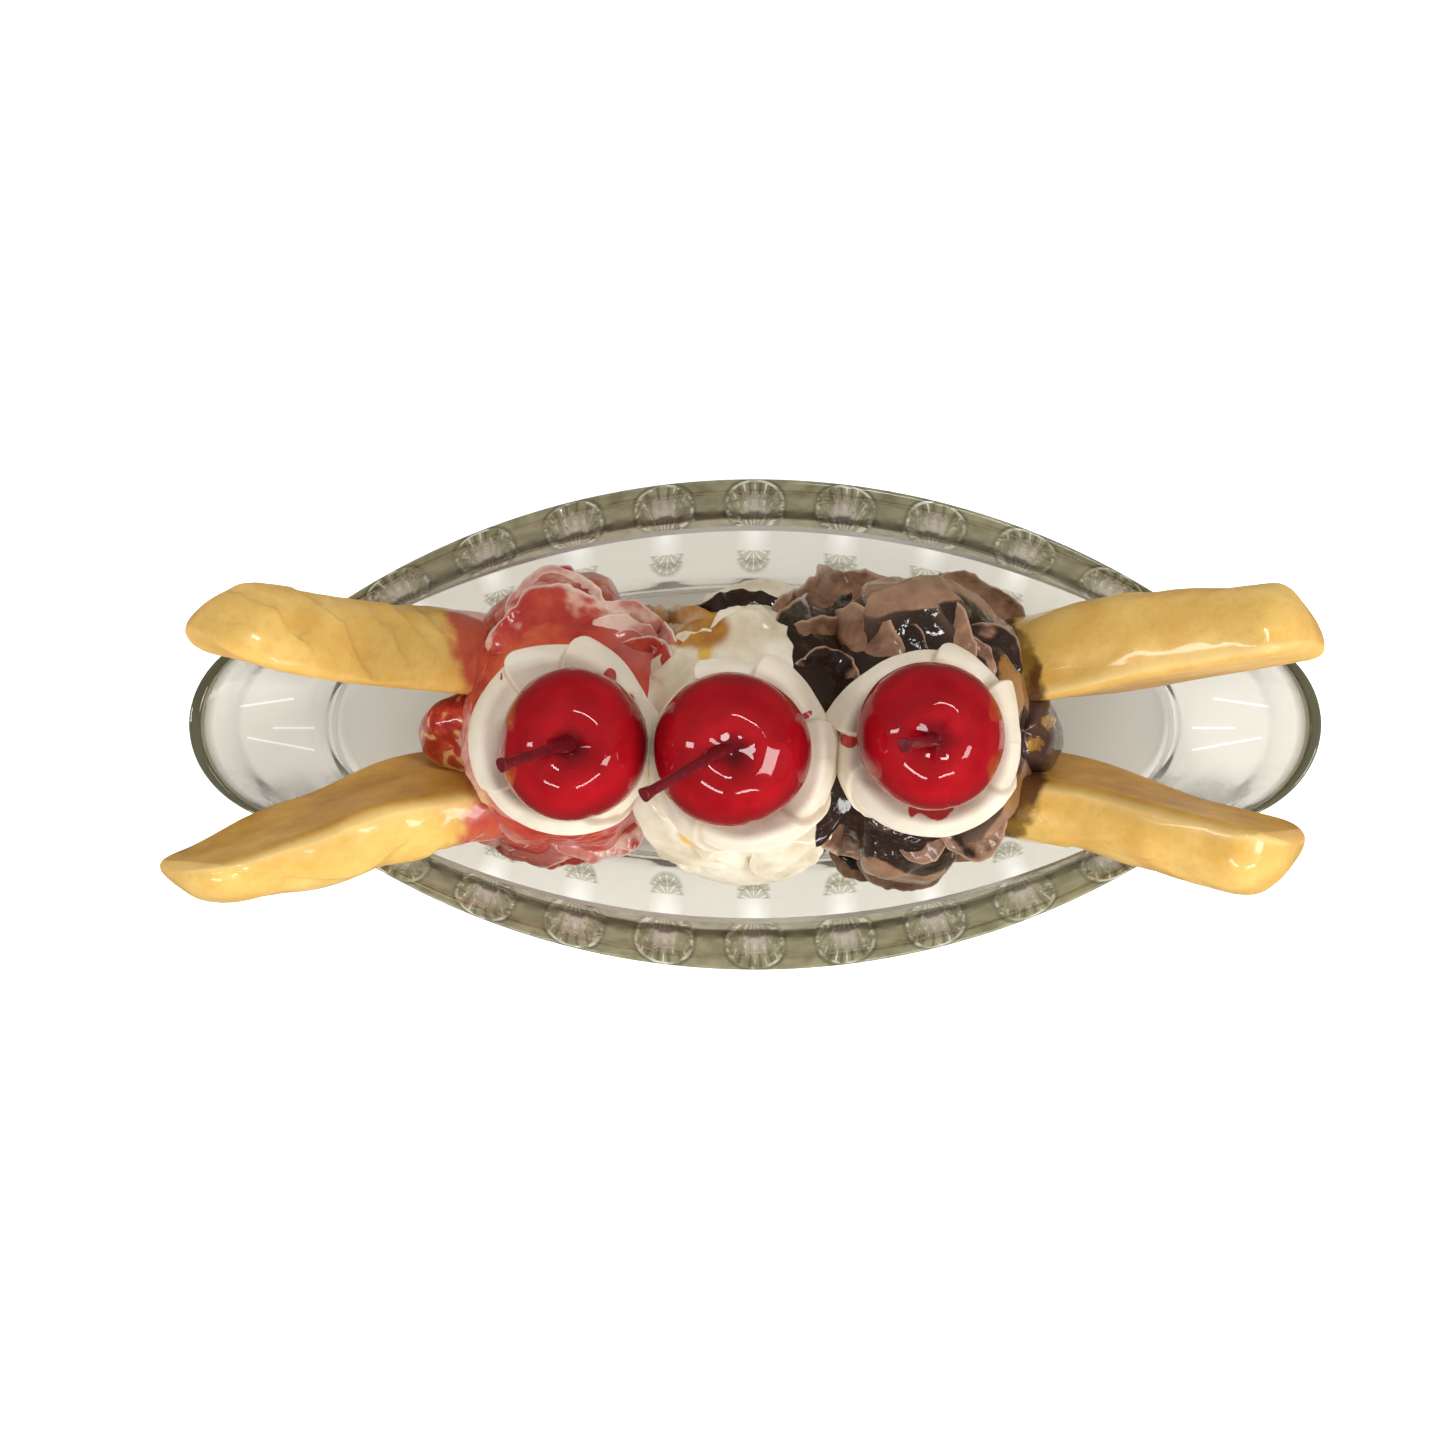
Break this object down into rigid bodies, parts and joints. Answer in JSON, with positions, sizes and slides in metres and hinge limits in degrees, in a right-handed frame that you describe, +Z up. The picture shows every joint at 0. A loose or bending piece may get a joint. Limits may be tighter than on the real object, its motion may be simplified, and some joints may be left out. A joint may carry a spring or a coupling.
{
  "type": "decorative banana split",
  "caption": "Display banana split: banana halves and three glazed scoops with cream swirls and stemmed cherries in a fluted clear pressed glass boat dish.",
  "frame": {"origin": "middle of the flat foot of the dish, on the surface it stands on", "axes": "+X along the dish toward the chocolate scoop, +Y across it to the rear banana half, +Z up"},
  "size_m": [0.2175, 0.0936, 0.1161],
  "materials": {
    "glass": "clear pressed glass, faint olive grey tint in its thick edges, polished",
    "banana": "warm yellow glaze over modelled clay, glossy, a little darker on the cut faces",
    "strawberry": "red and orange glaze pooled in the folds over pale pink clay, glossy",
    "vanilla": "off-white glaze with thin lemon and amber patches, glossy",
    "chocolate": "mid brown curls with glossy near-black sauce between them",
    "cream": "off-white bisque clay, matt",
    "cherry": "clear deep red cast resin, very glossy",
    "stem": "dark burgundy resin over wire, satin",
    "strawberry_sauce": "thick red glaze with gold streaks, glossy",
    "chocolate_sauce": "very dark brown glaze, glossy"
  },
  "bodies": {
    "root": {"dish": "glass", "banana_rear": "banana", "banana_front": "banana", "scoop_strawberry": "strawberry", "scoop_vanilla": "vanilla", "scoop_chocolate": "chocolate", "cream_left": "cream", "cherry_left": "cherry", "stem_left": "stem", "cream_middle": "cream", "cherry_middle": "cherry", "stem_middle": "stem", "cream_right": "cream", "cherry_right": "cherry", "stem_right": "stem", "sauce_strawberry": "strawberry_sauce", "sauce_chocolate": "chocolate_sauce"}
  },
  "joints": []
}
